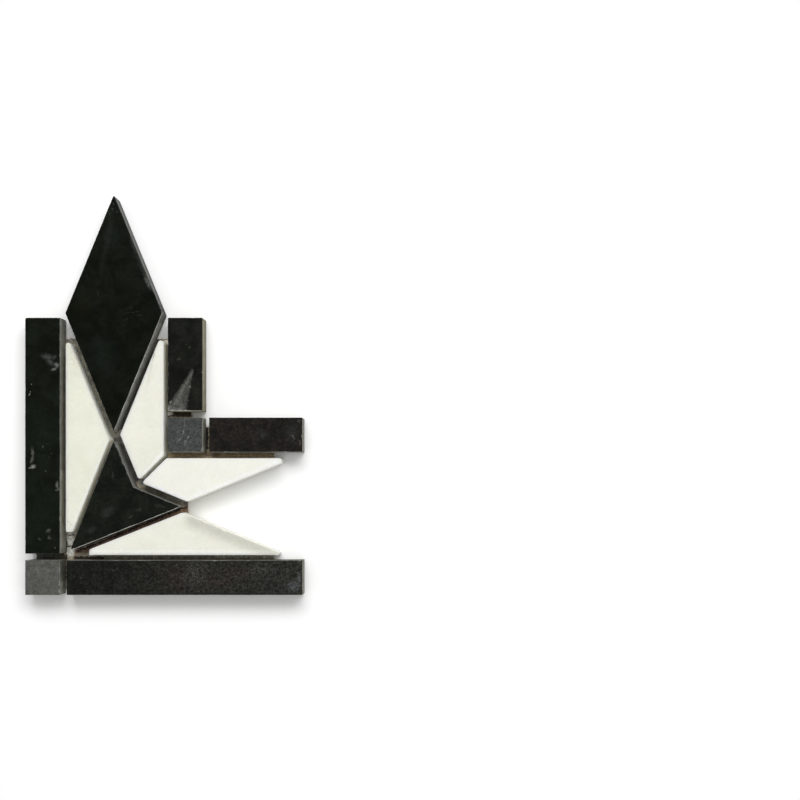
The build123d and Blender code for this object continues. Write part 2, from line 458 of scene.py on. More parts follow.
def stone_mesh(name, node, outline, middle, seed, arris, gap, depth, usual, rubbing, sides, placed):
    """The skin of a sawn stone.

    Rings follow the outline of the stone's underside. A ring's points lie a depth in from the outline,
    at a height: up the wall, with shallow relief that runs level as the saw did; over the arris, which
    is rounded where it is whole and cut straight where it is chipped; and over the face in ever
    smaller copies about its middle. The face leans by a few hundredths of a millimetre.
    """
    rng = np.random.default_rng(seed)
    foot, crown = (corner[2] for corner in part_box(node))
    path = even_outline(outline)
    count = len(path)
    step = inward(path)
    # By side: the arris's paleness with painted highlight, the wall's painted light and shade, and how
    # far the wall is cut back
    pale, light, cut = facing(-step, sides, usual)
    path = path + step * bell_mean(cut, CUT_EASE)[:, None] * MM

    chipped = chips(rng, path, gap, depth, placed)
    whole = arris * wander(rng, count, ARRIS_NOISE, *WHOLE_WIDTH)
    width = whole + chipped
    drop = whole * wander(rng, count, ARRIS_NOISE, *WHOLE_DROP)
    drop = drop + chipped * wander(rng, count, CHIP_NOISE, *CHIP_DROP)
    broken = np.clip(chipped / BROKEN, 0, 1)
    # Paleness of the arris: worn stone with painted highlights by side, and pale chips
    wear_and_highlight = np.clip(pale * wander(rng, count, RUB_NOISE, *RUBBED) + rubbing * broken, 0, 1)
    lean = rng.uniform(-FACE_LEAN, FACE_LEAN, 2)
    lowest = ((path - middle) @ lean).min()

    rings = []
    shares = {"wall": [], "bruise": [], "height": [], "light": []}

    def ring(points, level, **given):
        """Adds one ring of points at a level, with the numbers that each carries for the material."""
        rings.append(np.column_stack([points, np.broadcast_to(level, count)]))
        for title, rows in shares.items():
            rows.append(np.broadcast_to(np.asarray(given.get(title, 0.0), float), count))

    def top(points):
        """Height of the leaning face over each point, nowhere above the stone's box."""
        return crown - ((points - middle) @ lean - lowest)

    crest = top(path)
    ring(path + step * UNDERSIDE_EASE, foot, wall=1, light=light)
    for share in np.linspace(LOWEST_RING, 1, WALL_RINGS):
        relief = SAW_RELIEF * wander(rng, count, SAW_NOISE)
        level = foot + (crest - drop - RIM - foot) * share
        ring(path + step * relief[:, None], level, wall=1, height=share, light=light)
    ring(path, crest - drop, wall=1, bruise=wear_and_highlight, height=1, light=light)
    for part in ARRIS_RINGS:
        turn = part * np.pi / 2
        rounded_in, rounded_down = 1 - np.cos(turn), 1 - np.sin(turn)
        depth_in = width * (rounded_in + (part - rounded_in) * broken)
        down = drop * (rounded_down + (1 - part - rounded_down) * broken)
        rough = wander(rng, count, CHIP_FACE_NOISE, *CHIP_FACE)
        down = down * (1 + broken * (rough - 1))
        ring(path + step * depth_in[:, None], crest - down, bruise=wear_and_highlight, height=1)
    rim = path + step * (width + RIM)[:, None]
    ring(rim, crest, height=1)
    for share in FACE_RINGS:
        points = middle + (rim - middle) * share
        ring(points, top(points), height=1)

    poles = np.array([[*middle, foot], [*middle, crown + lowest]])
    points = np.vstack([*rings, poles])
    faces = closed_rings(len(rings), count)
    carried = {
        title: np.concatenate([*rows, [rows[0][0], rows[-1][0]]]) for title, rows in shares.items()
    }
    piece = new_piece(name, points, faces, carried, STONE_SHARP)
    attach(piece, "root")
    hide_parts(node)
    return piece


# Finishes of the stones

# Kinds of noise, as in Tree.pattern
CLOUDS = (6, 0.66, 0.36, 0.66)  # without its scale, which is the finish's spread
GRAIN = (750, 4, 0.75, 0.36, 0.66)
FINE_GRAIN = (2600, 2, 0.6, 0.36, 0.66)
PITS = (1000, 2, 0.6, 0.6, 0.68)
CRUMBLE = (1900, 3, 0.7, 0.36, 0.6)
SMEARS = (260, 4, 0.65, 0.35, 0.7)
CRUMBS = (1400, 4, 0.75, 0.36, 0.6)

CLOUD_TWIST = 0.6
GRIT = (2600, 4, 0.7)  # scale, detail and roughness
STROKES = (1, 4, 0.65)
STROKE_SIZE = (0.02, 0.02, 0.0005)  # long and level, as the saw went
NOISE_SHIFT = np.array([0.37, 0.21, 0.11])  # from one stone's noise to the next one's

WALL_ROUGHNESS = 0.85
HONED_SPECK = 0.15  # above it the grain is deep enough to be felt
HONED_RELIEF = 0.3
STONE_BUMP = 0.06 * MM
GLOW_DEPTH = 3.2 * MM
GLOW_SHARES = (1.0, 0.96, 0.85)  # of that depth, for red, green and blue


def marble(
    name, seed, face, cloud, wall, bruise, roughness, gloss, speck,
    spread=90, pit=0.0, glow=0.0, foot=0.75, uneven=1.0, marks=(), veins=(), painted_face_shading=(), wall_stains_and_shade=(),
):
    """A sawn stone: a polished or honed face with clouds, specks, pits, marks, veins, and bands of
    painted shade and painted highlight, a worn arris round it with painted highlights on some sides, and
    dull sawn walls with painted shade towards the foot, painted light and shade by side, and bands of
    stain and painted shade. Light colours glow a little inside."""
    material, tree = new_material(name)
    shifted = tree.place(centre=seed * NOISE_SHIFT)

    clouds = tree.pattern(shifted, (spread, *CLOUDS), distortion=CLOUD_TWIST)
    colour = tree.mix(clouds, face, cloud)
    fine = tree.pattern(shifted, FINE_GRAIN, 1 - speck, 1 + speck)
    tone = tree.times(tree.pattern(shifted, GRAIN, 1 - speck, 1 + speck), fine)
    if pit:
        tone = tree.times(tone, tree.ramp(tree.pattern(shifted, PITS), 0, 1, 1, 1 - pit))
    colour = tree.tint(colour, tone)

    crumble = tree.pattern(shifted, CRUMBLE, 0.35, 1.0)

    def marked(shade, strength, mask):
        """The colour so far with a crumbly mark on it."""
        return tree.mix(tree.times(mask, crumble, strength), colour, tree.tint(srgb(*shade), tone))

    for shade, strength, spots in marks:
        colour = marked(shade, strength, tree.highest(tree.blot(*spot) for spot in spots))
    for shade, strength, *place in veins:
        colour = marked(shade, strength, tree.band(*place))
    # Bands of painted shade and painted highlight on the face
    for shade, *place in painted_face_shading:
        colour = tree.tint(colour, tree.ramp(tree.band(*place), 0, 1, 1, shade))

    # Walls: level strokes of the saw, dust and smears of adhesive, painted shade towards the foot, and
    # painted light and shade by side
    strokes = tree.noise(tree.place(centre=(seed, seed, 0), size=STROKE_SIZE), *STROKES)
    stroke = tree.ramp(strokes, 0.3, 0.72, 1 - 0.2 * uneven, 1 + 0.18 * uneven)
    smear = tree.pattern(shifted, SMEARS, 1 - 0.2 * uneven, 1 + 0.15 * uneven)
    # Painted shade darkens each wall towards its foot, and the light share paints some sides lighter and
    # others darker
    painted_foot_shade = tree.ramp(tree.attribute("height"), 0.0, 1.0, foot, 1.0)
    wall_tone = tree.times(stroke, smear, painted_foot_shade, tree.attribute("light"))
    is_wall = tree.ramp(tree.attribute("wall"), 0.35, 0.65)
    colour = tree.mix(is_wall, colour, tree.tint(wall, wall_tone))
    # Bands of stain and of painted shade on the walls
    for shade, *place in wall_stains_and_shade:
        colour = tree.tint(colour, tree.ramp(tree.times(tree.band(*place), is_wall), 0, 1, 1, shade))

    # The arris: worn stone and pale chips, with painted highlights on some sides
    crumbs = tree.pattern(shifted, CRUMBS, 0.5, 1.0)
    edge = tree.times(tree.ramp(tree.attribute("bruise"), 0.02, 1.0), crumbs)
    colour = tree.mix(edge, colour, bruise)

    dull = tree.maths("MAXIMUM", is_wall, edge)
    rough = tree.maths("ADD", roughness, tree.ramp(clouds, 0, 1, -0.02, 0.03))
    rough = tree.maths("MAXIMUM", rough, tree.times(dull, WALL_ROUGHNESS))
    saw = tree.times(strokes, is_wall)
    grit = tree.times(tree.noise(shifted, *GRIT), dull)
    relief = tree.maths("ADD", saw, grit)
    if speck > HONED_SPECK:
        relief = tree.maths("ADD", relief, tree.times(fine, HONED_RELIEF))
    tree.principled(
        {
            "Base Color": colour,
            "Roughness": rough,
            "Specular IOR Level": gloss,
            "Subsurface Weight": glow,
            "Subsurface Radius": GLOW_SHARES,
            "Subsurface Scale": GLOW_DEPTH,
            "Normal": tree.bump(relief, STONE_BUMP),
        }
    )
    return material


BLACK_WALL = srgb(152, 152, 142)
GREY_WALL = srgb(142, 142, 132)
WHITE_WALL = srgb(245, 244, 231)
# Colours of the arris: worn stone, and painted highlights where a side's arris is paler
PALE_RUB_AND_HIGHLIGHT = srgb(180, 181, 173)
GREY_RUB_AND_HIGHLIGHT = srgb(140, 140, 132)
WHITE_RUB_AND_HIGHLIGHT = srgb(252, 252, 247)

POLISHED = dict(wall=BLACK_WALL, bruise=PALE_RUB_AND_HIGHLIGHT, roughness=0.16, gloss=0.4, speck=0.12, spread=130)
HONED = dict(wall=BLACK_WALL, bruise=PALE_RUB_AND_HIGHLIGHT, roughness=0.55, gloss=0.1, speck=0.34, spread=230)
WHITE = dict(
    wall=WHITE_WALL,
    bruise=WHITE_RUB_AND_HIGHLIGHT,
    roughness=0.35,
    gloss=0.3,
    speck=0.02,
    glow=1.0,
    foot=1.0,
    uneven=0.25,
)

# Marks on the faces: a colour, how strong it is, and its spots, each a pixel of the photograph, half
# lengths in millimetres and a turn in degrees
LEFT_BAR_MARKS = [
    ((24, 32, 25), 0.7, [(42, 430, 12, 18), (40, 520, 14, 26)]),
    (
        (96, 98, 94),
        0.5,
        [(47.5, 357.0, 4.0, 2.0, -14), (50, 362, 3.2, 1.6, -38), (54.5, 357.5, 2.0, 0.9, 58)],
    ),
    ((150, 152, 146), 0.55, [(56.4, 365.0, 1.6, 1.2, -60), (54.0, 369.0, 1.8, 0.8, 22)]),
    (
        (190, 192, 184),
        0.8,
        [(31.2, 384, 0.4, 0.35), (29.8, 394.3, 0.8, 0.5, 60), (30.5, 392, 0.35, 0.35)],
    ),
    ((130, 132, 126), 0.5, [(32.6, 455, 4.6, 0.9, -86), (31.6, 460, 2.4, 0.8, 80)]),
    ((170, 172, 166), 0.7, [(33.2, 466.5, 1.5, 1.3, 0), (29.8, 468.2, 0.8, 0.5, 25)]),
    (
        (105, 108, 102),
        0.6,
        [(43, 447, 0.4, 0.4), (52, 453.6, 0.4, 0.4), (49, 457, 0.3, 0.3), (45.7, 471, 0.5, 0.4)],
    ),
    (
        (84, 86, 80),
        0.6,
        [(47, 444, 0.3, 0.3), (44, 456, 0.3, 0.3), (50, 449, 0.3, 0.4), (39.3, 539, 0.9, 0.6)],
    ),
    (
        (110, 112, 106),
        0.6,
        [(48.0, 531.0, 1.5, 1.2, 30), (49.5, 538, 1.1, 1.2, 0), (55, 548, 0.6, 0.6)],
    ),
    ((150, 152, 146), 0.5, [(57.4, 486, 0.8, 3.2), (58.6, 489, 0.8, 0.9), (56, 490, 0.6, 0.5)]),
]
RHOMBUS_MARKS = [
    ((46, 48, 44), 0.4, [(107, 243, 2.6, 17, -12), (112, 212, 1.8, 5, -10)]),
    ((70, 72, 68), 0.45, [(144, 270, 2.0, 13, 25), (134, 246, 1.6, 7, 22)]),
    ((130, 132, 128), 0.4, [(148, 283, 1.2, 5.0, 25)]),
    ((76, 78, 74), 0.25, [(98, 294, 0.5, 2.2, 20), (137.5, 289, 0.5, 0.5), (137.5, 294, 0.4, 0.5)]),
    (
        (80, 82, 78),
        0.2,
        [
            (134, 312, 4.5, 0.35, 6),
            (139, 315, 2.4, 0.4, 0),
            (127, 319, 2.6, 0.25, 18),
            (131, 308, 1.6, 0.25, -8),
        ],
    ),
    ((24, 32, 26), 0.7, [(103, 355, 9, 12), (116, 236, 4, 7)]),
    (
        (92, 93, 86),
        0.55,
        [(112, 209, 0.5, 0.5), (109, 213.5, 0.5, 0.7), (117, 212, 0.35, 0.7), (113.5, 204, 0.5, 0.6)],
    ),
    ((24, 24, 12), 0.6, [(84, 304, 7, 7)]),
]
DART_MARKS = [
    (
        (80, 82, 78),
        0.4,
        [(113, 475.5, 0.5, 3.0), (138.6, 510, 1.8, 0.8, 15), (130, 517, 1.8, 0.8, 40)],
    ),
    ((62, 64, 60), 0.5, [(91, 530, 4.0, 2.0, 20), (160, 506, 3.5, 1.0, -10), (108, 512, 5, 3, 30)]),
]
SHORT_BAR_MARKS = [
    (
        (110, 108, 98),
        0.4,
        [(189.5, 347, 1.0, 0.8, 30), (186, 344.5, 0.5, 0.4), (179, 359, 1.2, 0.7, 40)],
    ),
    ((46, 44, 38), 0.6, [(197, 392, 3.0, 8, 0)]),
    ((24, 28, 18), 0.7, [(184, 352, 4, 6, -20), (196, 329, 3, 2), (184, 326, 4, 2.5)]),
    (
        (150, 150, 142),
        0.7,
        [
            (187.6, 381, 0.6, 3.2, -22),
            (190.8, 376, 0.5, 2.6, -20),
            (190, 387, 0.7, 0.8),
            (170.5, 402, 1.2, 0.8, 30),
        ],
    ),
    ((196, 196, 190), 0.75, [(177, 409, 4.6, 0.9, 5), (170, 407, 1.4, 1.2)]),
]
SCRATCHES = [
    (
        (150, 153, 152),
        0.5,
        [(184.4, 424, 0.4, 3.2, 4), (183.0, 433, 0.5, 2.6, -14), (178.8, 440.5, 0.5, 2.6, -38)],
    ),
    (
        (150, 153, 152),
        0.6,
        [(188, 437.5, 0.6, 1.4, -12), (185.2, 441.5, 1.1, 0.9, 20), (185, 444, 0.5, 0.7)],
    ),
    (
        (32, 34, 32),
        0.6,
        [
            (172, 425, 0.7, 0.6),
            (195, 447, 0.9, 1.0),
            (176, 446, 0.9, 0.5),
            (192, 424, 0.6, 0.5),
            (199, 437, 0.5, 0.7),
        ],
    ),
]
LEFT_WHITE_MARKS = [
    ((200, 198, 178), 0.7, [(76, 345, 8, 18, 0)]),
    ((252, 252, 246), 0.9, [(74, 353, 1.2, 0.5, 5), (71, 362, 0.7, 0.6), (70, 365, 0.4, 0.4)]),
    ((150, 148, 138), 0.6, [(69, 522, 1.6, 0.3, -25), (71, 524.5, 1.2, 0.25, -30)]),
]
BOTTOM_BAR_MARKS = [
    ((66, 66, 61), 0.5, [(300, 578, 62, 30)]),
    ((60, 56, 52), 0.4, [(190, 578, 40, 30)]),
    ((60, 48, 45), 0.3, [(221, 582, 11, 4), (240, 572, 12, 4), (178, 578, 8, 8)]),
    ((84, 84, 79), 0.35, [(262, 569, 8, 3), (196, 574, 8, 9)]),
    ((112, 115, 117), 0.5, [(294, 586, 4.2, 3.4), (299, 578, 1.6, 3.0)]),
    ((26, 25, 20), 0.5, [(275, 584, 1.6, 4), (109, 574, 6, 5)]),
    (
        (100, 102, 96),
        0.6,
        [
            (113, 571, 0.5, 0.5),
            (81, 578, 0.5, 0.6),
            (177, 564, 0.4, 0.4),
            (199, 591, 0.4, 0.4),
            (191, 589, 0.4, 0.4),
            (236, 577, 0.5, 0.4),
        ],
    ),
]
SHORT_HORIZONTAL_MARKS = [
    (
        (14, 15, 12),
        0.8,
        [
            (252, 426, 3.2, 0.9, -50),
            (264, 424, 2.0, 0.9, 10),
            (257, 434, 2.6, 1.2, -40),
            (300, 438, 0.9, 1.0),
            (216, 434, 3.0, 4.0),
        ],
    ),
    ((52, 54, 50), 0.6, [(262, 434, 4.5, 3.0, -30), (292, 432, 5.0, 6.0)]),
    ((96, 96, 90), 0.7, [(299, 421, 1.2, 0.8), (300, 443, 0.8, 1.6), (293, 437, 0.8, 1.8, 10)]),
]

# The vein of the short bar: a colour, how strong it is, and its band's ends, first and last half
# widths in millimetres and softness
VEIN = [
    ((82, 82, 77), 0.85, (192.6, 369.5), (176, 411.5), 0.9, 4.3, 0.3),
    ((112, 112, 106), 0.7, (192, 372), (172, 409), 0.2, 1.8, 1.0),
    ((120, 120, 114), 0.5, (180, 398), (182, 411), 1.0, 2.2, 1.0),
]

# Painted shade and painted highlights on the faces of the white stones: a tone, and its band's ends,
# half widths and softness. The first, a painted shadow along the slanted edge of the bottom white stone,
# also says how far its band lies below the faces and how long its ends fade; all others are painted
# highlights along edges
BOTTOM_WHITE_PAINTED_SHADING = [
    (0.73, (187, 513), (292, 555.5), 9.5, 9.5, 1.0, 0.0, 4.0),
    (1.09, (92, 551.5), (274, 551.5), 1.0, 1.0, 0.6),
]
LEFT_WHITE_PAINTED_HIGHLIGHT = [(1.08, (110, 437), (74, 523), 1.3, 1.3, 0.8)]
UPPER_WHITE_PAINTED_HIGHLIGHT = [(1.14, (163, 452), (143, 476), 1.1, 1.1, 0.8)]
INNER_WHITE_PAINTED_HIGHLIGHTS = [
    (1.09, (186, 500), (278, 461.5), 1.3, 1.3, 0.8),
    (1.14, (152, 485.5), (186, 499), 0.9, 0.9, 0.8),
]

# Each stone's finish, and those of its sides whose arris or wall isn't as usual: the side's direction,
# how pale the arris is, with painted highlight, the factor of painted light and shade on the wall and,
# where it isn't as usual either, how many millimetres the wall is cut back, below 0 where it stands
# proud
STONES = {
    "outer_bar_vertical": (
        dict(
            POLISHED,
            face=srgb(14, 17, 11),
            cloud=srgb(22, 27, 20),
            marks=LEFT_BAR_MARKS,
            wall_stains_and_shade=[(1.35, (59.8, 470), (59.8, 548), 1.5)],
        ),
        [(1, 0, 0.35, 1.05, -0.1)],
    ),
    "outer_bar_horizontal": (
        dict(
            HONED,
            face=srgb(20, 22, 17),
            cloud=srgb(32, 33, 28),
            speck=0.58,
            pit=0.5,
            marks=BOTTOM_BAR_MARKS,
        ),
        [(0, 1, 0.32, 1.0)],
    ),
    "inner_bar_vertical": (
        dict(
            POLISHED,
            face=srgb(13, 15, 10),
            cloud=srgb(25, 25, 21),
            wall=srgb(147, 144, 122),
            roughness=0.3,
            gloss=0.2,
            speck=0.25,
            marks=SHORT_BAR_MARKS,
            veins=VEIN,
        ),
        [(1, 0, 0.2, 1.04), (-1, 0, 0.05, 1.8), (0, -1, 0.8, 2.0)],
    ),
    "inner_bar_horizontal": (
        dict(
            HONED,
            face=srgb(36, 31, 27),
            cloud=srgb(18, 18, 14),
            speck=0.4,
            pit=0.6,
            marks=SHORT_HORIZONTAL_MARKS,
        ),
        [(0, -1, 0.6, 1.0), (1, 0, 0.2, 1.0)],
    ),
    "outer_corner_square": (
        dict(
            HONED,
            face=srgb(90, 91, 86),
            cloud=srgb(80, 81, 76),
            wall=GREY_WALL,
            bruise=GREY_RUB_AND_HIGHLIGHT,
            speck=0.22,
            pit=0.45,
            wall_stains_and_shade=[(0.85, (59.8, 558), (59.8, 576), 1.5), (1.6, (59.8, 582), (59.8, 594), 1.5)],
        ),
        [(1, 0, 0.4, 0.85)],
    ),
    "inner_corner_square": (
        dict(
            HONED,
            face=srgb(74, 76, 74),
            cloud=srgb(62, 65, 64),
            wall=GREY_WALL,
            bruise=GREY_RUB_AND_HIGHLIGHT,
            speck=0.26,
            pit=0.55,
            marks=SCRATCHES,
        ),
        [(1, 0, 0.8, 1.25), (0, -1, 1.0, 1.0), (-1, 0, 0.05, 1.8), (0, 1, 0.35, 2.0)],
    ),
    "rhombus": (
        dict(
            POLISHED,
            face=srgb(12, 15, 9),
            cloud=srgb(19, 22, 16),
            wall=srgb(154, 155, 150),
            foot=0.4,
            marks=RHOMBUS_MARKS,
            # Painted shade on the rhombus's wall beside the gap
            wall_stains_and_shade=[(0.4, (164, 298), (160, 322), 2.6)],
        ),
        [(0.9, 0.42, 0.0, 0.5), (0.9, -0.42, 0.75, 1.3)],
    ),
    "corner_dart": (
        dict(
            POLISHED,
            face=srgb(19, 21, 17),
            cloud=srgb(27, 30, 24),
            wall=srgb(148, 147, 142),
            bruise=srgb(205, 206, 198),
            roughness=0.2,
            gloss=0.35,
            speck=0.16,
            marks=DART_MARKS,
        ),
        [
            (0.4, -0.9, 1.0, 0.2, -0.35),
            (0.9, 0.4, 0.14, 1.1),
            (0.4, 0.9, 0.17, 1.0),
            (-0.94, 0.34, 0.05, 2.0),
        ],
    ),
    "white_outer_vertical": (
        dict(
            WHITE,
            face=srgb(237, 238, 224),
            cloud=srgb(232, 233, 218),
            marks=LEFT_WHITE_MARKS,
            painted_face_shading=LEFT_WHITE_PAINTED_HIGHLIGHT,
        ),
        [(0, -1, 0.8, 1.0, 0.5)],
    ),
    "white_outer_horizontal": (
        dict(WHITE, face=srgb(240, 240, 229), cloud=srgb(235, 235, 224), painted_face_shading=BOTTOM_WHITE_PAINTED_SHADING),
        [(0, -1, 0.8, 1.0, 0.3), (-1, 0, 0.8, 1.0, 0.1)],
    ),
    "white_inner_vertical": (
        dict(
            WHITE,
            wall=srgb(245, 246, 240),
            face=srgb(238, 238, 227),
            cloud=srgb(233, 233, 222),
            painted_face_shading=UPPER_WHITE_PAINTED_HIGHLIGHT,
        ),
        [],
    ),
    "white_inner_horizontal": (
        dict(WHITE, face=srgb(243, 243, 234), cloud=srgb(239, 239, 230), painted_face_shading=INNER_WHITE_PAINTED_HIGHLIGHTS),
        [],
    ),
}

# Chips that the photograph shows: a pixel on the arris, half its length and its depth in millimetres
CHIPS = {
    "outer_bar_vertical": [(24, 317, 0.8, 0.35), (58, 318, 0.5, 0.25)],
    "inner_bar_vertical": [
        (172, 410, 1.3, 0.5),
        (180, 410, 1.1, 0.35),
        (168, 409, 0.9, 0.6),
        (186, 410, 0.8, 0.25),
    ],
    "outer_corner_square": [
        (60, 570, 1.0, 0.15),
        (60, 583, 1.4, 0.2),
        (60, 591, 0.9, 0.35),
        (27, 561, 0.6, 0.2),
    ],
    "inner_corner_square": [(202, 450, 0.9, 0.4), (170, 450, 0.8, 0.25)],
    "corner_dart": [(123, 443, 0.8, 0.3), (131, 458, 1.6, 0.25), (116, 437, 0.6, 0.3)],
    "rhombus": [(110, 203, 0.4, 0.12)],
    "inner_bar_horizontal": [(301, 436, 0.7, 0.3), (286, 452, 0.6, 0.2)],
    "outer_bar_horizontal": [(300, 560, 0.7, 0.3)],
}

# Each kind of edge: the width of its arris, the gap between its chips and their depth, what
# is usual for its sides, and how pale its chips are
WHITE_EDGE = dict(arris=0.09 * MM, gap=9 * MM, depth=0.3 * MM, usual=(0.45, 1.0, -0.12), rubbing=0.6)
BLACK_EDGE = dict(arris=0.22 * MM, gap=4 * MM, depth=0.16 * MM, usual=(0.05, 1.0, 0.0), rubbing=0.15)
CHALKY = ("inner_bar_vertical", "outer_corner_square")  # black and grey, but with pale chips
CHALKY_RUBBING = 0.7

DART_MIDDLE = 32 * MM  # along both arms, from where all of the dart's outline can be seen
FIRST_SHAPE_SEED = 11
FIRST_MARBLE_SEED = 1


def stone_middle(node):
    """A point in a stone from where all of its outline can be seen."""
    if node == "corner_dart":
        return np.array([cad_low.x, cad_low.y]) + DART_MIDDLE
    low, high = (np.array(corner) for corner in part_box(node))
    return (low[:2] + high[:2]) / 2


footprints = []
for number, (name, (finish, sides)) in enumerate(STONES.items()):
    edge = dict(WHITE_EDGE if name.startswith("white") else BLACK_EDGE)
    edge.update(sides=sides, placed=CHIPS.get(name, ()))
    if name in CHALKY:
        edge.update(rubbing=CHALKY_RUBBING)
    middle = stone_middle(name)
    footprint = underside_outline(name, middle)
    footprints.append(footprint)
    seed = number + FIRST_SHAPE_SEED
    piece = stone_mesh(f"{name}_stone", name, footprint, middle, seed, **edge)
    piece.data.materials.append(marble(name, seed=number + FIRST_MARBLE_SEED, **finish))


# Mesh backing

STRAND_PITCH = 6.0 * MM
FIRST_STRAND = 4.8 * MM  # from the outer corner's two sides
FIRST_CROSSING = np.array([cad_low.x, cad_low.y]) + FIRST_STRAND  # of the first strands each way
STRANDS = 20  # each way, enough to reach past the mesh's ends
STRAND_HALF_WIDTH = 0.6 * MM
STRAND_HALF_THICKNESS = 0.15 * MM
STRAND_STEP = 0.7 * MM
STRAND_SIDES = 8
STRAND_SEED = 6
WEAVE = 0.11 * MM  # up and down from the middle
SWAY = 0.08 * MM  # to the sides
SWAY_LENGTH = 7 * MM  # along the strand, for each radian of the sway
SWELLING = 0.14  # of the width, both ways
SWELLING_LENGTH = 2.1 * MM  # along the strand, for each radian of the swelling
FRAY = 0.3 * MM  # how far a strand's end may pass the outline

SKIN_STEP = 0.7 * MM
SKIN_TOP = 0.8 * MM
SKIN_BOTTOM = 0.4 * MM
SKIN_RAGGED = 0.35 * MM  # depth of the bays in its trimmed edge
SKIN_MARGIN = 0.5 * MM  # from the edge to the nearest points of the grid
WITHIN_THE_EDGE = 1  # asks delaunay_2d_cdt for the triangles within the edge only
SAME_PLACE = 1e-7  # points as near as this become one
SKIN_SHARP = 50  # degrees
SKIN_SEED = 5
LUMP_HEIGHT = 0.45 * MM
LUMP_LENGTH = 3.2 * MM
LUMP_SEED = 1
OVER_STRAND = 0.08 * MM  # half the height of the ridges over the strands
DIP = 0.12 * MM
DIP_LENGTH = 4 * MM
DIP_SEED = 2
WAVES = 40
WAVE_LENGTHS = (0.6, 1.6)  # shortest and longest, as shares of the length asked for


def ripples(points, seed, length):
    """Lumps from 0 to 1 over points of a plane: plane waves of about the given length, with
    directions and phases at random, added up."""
    rng = np.random.default_rng(seed)
    turn, phase = rng.uniform(0, 2 * np.pi, (2, WAVES))
    pace = 2 * np.pi / (length * rng.uniform(*WAVE_LENGTHS, WAVES))
    waves = np.column_stack([np.cos(turn), np.sin(turn)]) * pace[:, None]
    total = np.sin(points @ waves.T + phase).sum(axis=1) / np.sqrt(WAVES / 2)
    return np.clip(0.5 + total / 4, 0, 1)


def three_sides(triangles):
    """The sides of triangles, each from one corner to the next."""
    return np.concatenate([triangles[:, [0, 1]], triangles[:, [1, 2]], triangles[:, [2, 0]]])


def top_outline(node):
    """The corners of a flat topped solid's upper face, in order, anticlockwise from above."""
    points = node_points(node)
    data = nodes[node].data
    data.calc_loop_triangles()
    triangles = np.empty(len(data.loop_triangles) * 3, int)
    data.loop_triangles.foreach_get("vertices", triangles)
    triangles = triangles.reshape(-1, 3)
    on_top = (points[triangles, 2] > points[:, 2].max() - SAME_LEVEL).all(axis=1)
    places, number = np.unique(points[:, :2].round(ROUNDING), axis=0, return_inverse=True)
    sides = three_sides(number.reshape(-1)[triangles[on_top]])
    shared = {tuple(side[::-1]) for side in sides.tolist()}
    rim = {first: last for first, last in sides.tolist() if (first, last) not in shared}
    walk = [next(iter(rim))]
    while len(walk) < len(rim):
        walk.append(rim[walk[-1]])
    return places[walk]


def inside(points, outline):
    """Which points lie inside a closed outline, by the sides that a line towards +X crosses."""
    first, last = outline, np.roll(outline, -1, axis=0)
    x, y = points[:, None, 0], points[:, None, 1]
    spans = (first[:, 1] > y) != (last[:, 1] > y)
    rise = np.where(last[:, 1] == first[:, 1], 1, last[:, 1] - first[:, 1])
    cross = first[:, 0] + (y - first[:, 1]) / rise * (last[:, 0] - first[:, 0])
    return (spans & (cross > x)).sum(axis=1) % 2 == 1


def skin_sheet(outline):
    """Points and triangles of a flat sheet: its ragged trimmed edge, and a grid of points within it,
    each shifted at random by up to a quarter of a step."""
    rng = np.random.default_rng(SKIN_SEED)
    path = even_outline(outline)[::2]
    count = len(path)
    step = inward(path)
    path = path + step * (SKIN_RAGGED * wander(rng, count, 2))[:, None]
    low, high = path.min(axis=0), path.max(axis=0)
    rows = [np.arange(low[axis], high[axis], SKIN_STEP) for axis in (0, 1)]
    grid = np.stack(np.meshgrid(*rows), axis=-1).reshape(-1, 2)
    grid = grid + rng.uniform(-0.25, 0.25, grid.shape) * SKIN_STEP
    grid = grid[inside(grid, path + step * SKIN_MARGIN)]
    ring = [(number, (number + 1) % count) for number in range(count)]
    places = [Vector(point) for point in np.vstack([path, grid])]
    made = delaunay_2d_cdt(places, ring, [], WITHIN_THE_EDGE, SAME_PLACE)
    return np.array([tuple(point) for point in made[0]]), np.array(made[2])


def skin_mesh(outline, footprints):
    """The skin of set adhesive: a sheet within the trimmed outline. Its top is level under the stones
    and pressed up between them, in lumps and over the strands. Its underside dips a little."""
    flat, triangles = skin_sheet(outline)
    total = len(flat)
    over_strand = np.cos((flat - FIRST_CROSSING) * 2 * np.pi / STRAND_PITCH).max(axis=1)
    lumps = LUMP_HEIGHT * ripples(flat, LUMP_SEED, LUMP_LENGTH) ** 2 + OVER_STRAND * (1 + over_strand)
    covered = np.zeros(total, bool)
    for footprint in footprints:
        covered |= inside(flat, footprint)
    top = SKIN_TOP + np.where(covered, 0, lumps)
    bottom = SKIN_BOTTOM + DIP * (ripples(flat, DIP_SEED, DIP_LENGTH) - 0.5)
    points = np.vstack([np.column_stack([flat, top]), np.column_stack([flat, bottom])])

    sides = three_sides(triangles)
    shared = np.isin(sides[:, 0] * total + sides[:, 1], sides[:, 1] * total + sides[:, 0])
    first, last = sides[~shared].T
    wall = np.column_stack([last, first, first + total, last + total])
    faces = triangles.tolist() + (triangles[:, ::-1] + total).tolist() + wall.tolist()
    return new_piece("adhesive_skin", points, faces, sharp=SKIN_SHARP)


def crossings(outline, axis, line):
    """Where a line along an axis goes into a closed outline and out of it, pair by pair."""
    other = 1 - axis
    first, last = outline, np.roll(outline, -1, axis=0)
    crossed = (first[:, other] > line) != (last[:, other] > line)
    first, last = first[crossed], last[crossed]
    share = (line - first[:, other]) / (last[:, other] - first[:, other])
    return np.sort(first[:, axis] + share * (last[:, axis] - first[:, axis])).reshape(-1, 2)


